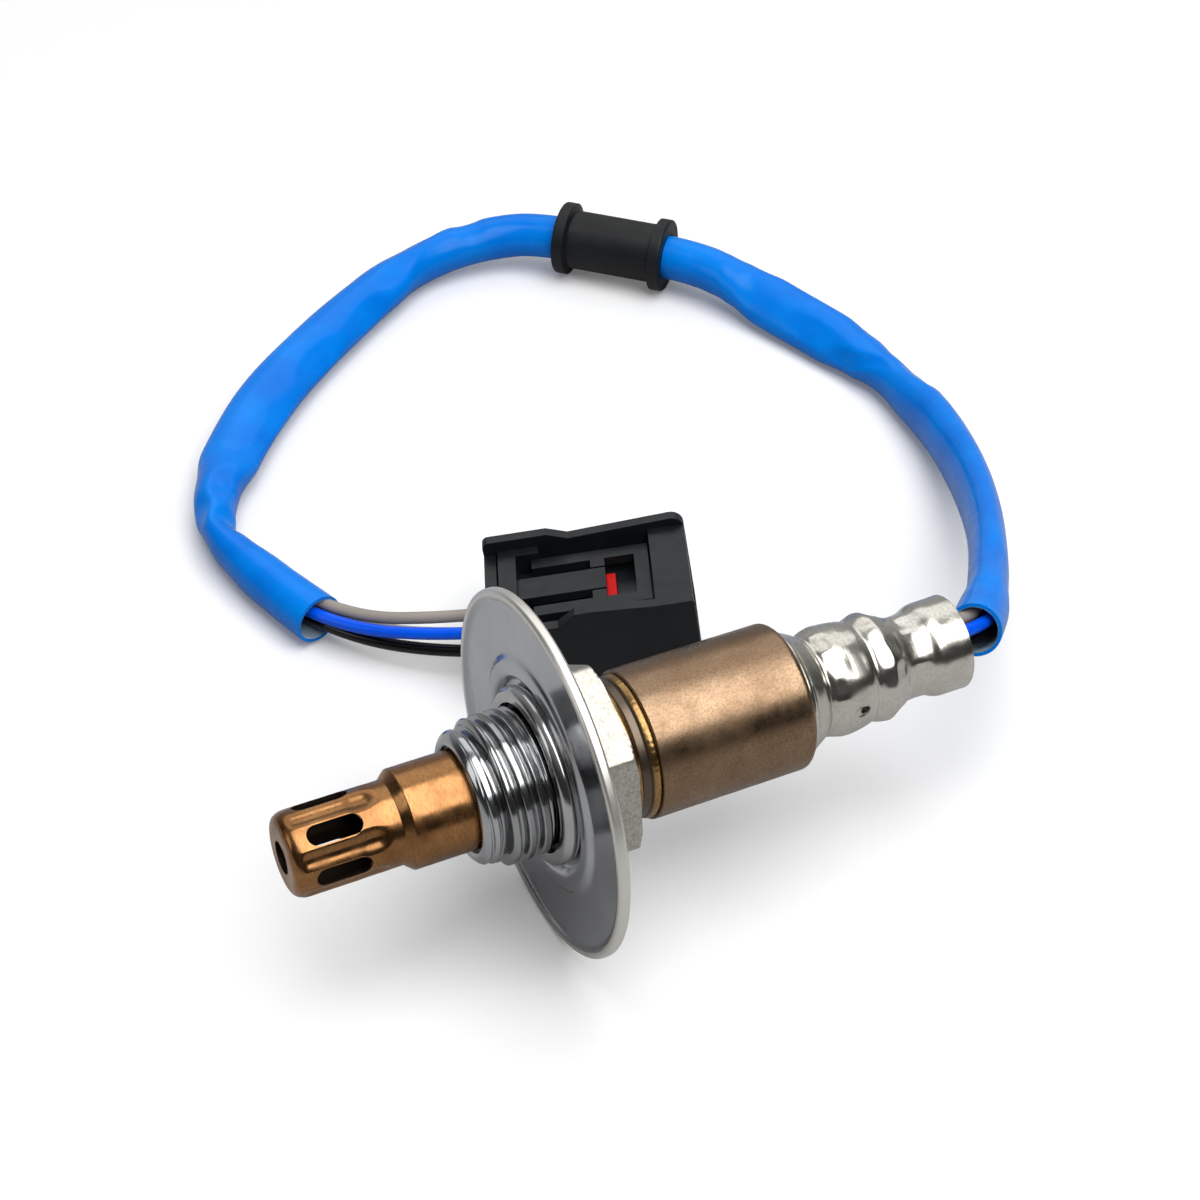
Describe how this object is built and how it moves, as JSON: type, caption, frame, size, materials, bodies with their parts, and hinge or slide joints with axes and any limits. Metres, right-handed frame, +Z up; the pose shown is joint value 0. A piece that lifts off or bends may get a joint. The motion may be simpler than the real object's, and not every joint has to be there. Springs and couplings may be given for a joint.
{
  "type": "oxygen sensor",
  "caption": "Screw-in exhaust oxygen sensor with slotted tip cover, heat-shield disc, crimped rear sleeve and a sleeved lead ending in a latching connector.",
  "frame": {"origin": "on the sensor's axis at the front of the crush gasket, where the exhaust boss seats", "axes": "+X along the sensor's axis from the slotted tip to the wires, +Z up as the part lies, +Y towards the loop of the lead"},
  "size_m": [0.1295, 0.165, 0.0452],
  "materials": {
    "copper_cover": "heat-tinted copper bronze, glossy",
    "polished_steel": "turned and polished",
    "blasted_steel": "turned; hexagon blasted matte",
    "bright_sheet": "bright pressed sheet",
    "gasket_steel": "folded sheet",
    "weld_brass": "heat-tinted gold",
    "bronze_body": "satin brown, fine speckle",
    "nickel_sleeve": "glossy warm nickel",
    "alumina": "matte white ceramic",
    "talc": "pressed powder",
    "zirconia": "fired strip",
    "spring_metal": "stamped springs",
    "vent_membrane": "porous white",
    "grommet_rubber": "satin black",
    "lead_rubber": "satin black",
    "blue_sleeve": "glossy blue",
    "wire_black": "glossy",
    "wire_blue": "glossy",
    "wire_grey": "glossy",
    "wire_white": "glossy",
    "connector_plastic": "charcoal moulding",
    "retainer_plastic": "red moulding",
    "seal_rubber": "soft seal",
    "terminal_metal": "tinned"
  },
  "bodies": {
    "root": {"outer_protection_cover": "copper_cover", "inner_protection_cover": "polished_steel", "threaded_housing": "blasted_steel", "seat_gasket": "gasket_steel", "heat_shield_disc": "bright_sheet", "sensing_element": "zirconia", "lower_holder": "alumina", "powder_seal": "talc", "upper_holder": "alumina", "packing_ring": "polished_steel", "weld_collar": "weld_brass", "body_cover": "bronze_body", "rear_sleeve": "nickel_sleeve", "vent_filter": "vent_membrane", "contact_insulator": "alumina", "insulator_clip": "spring_metal", "wire_grommet": "grommet_rubber", "protective_sleeve": "blue_sleeve", "cable_grommet": "lead_rubber", "connector_housing": "connector_plastic", "front_retainer": "retainer_plastic", "perimeter_seal": "seal_rubber", "contact_spring_1": "spring_metal", "wire_seal_1": "seal_rubber", "receptacle_terminal_1": "terminal_metal", "contact_spring_2": "spring_metal", "wire_seal_2": "seal_rubber", "receptacle_terminal_2": "terminal_metal", "contact_spring_3": "spring_metal", "wire_seal_3": "seal_rubber", "receptacle_terminal_3": "terminal_metal", "contact_spring_4": "spring_metal", "wire_seal_4": "seal_rubber", "receptacle_terminal_4": "terminal_metal", "wire_black": "wire_black", "wire_blue": "wire_blue", "wire_grey": "wire_grey", "wire_white": "wire_white"}
  },
  "joints": []
}
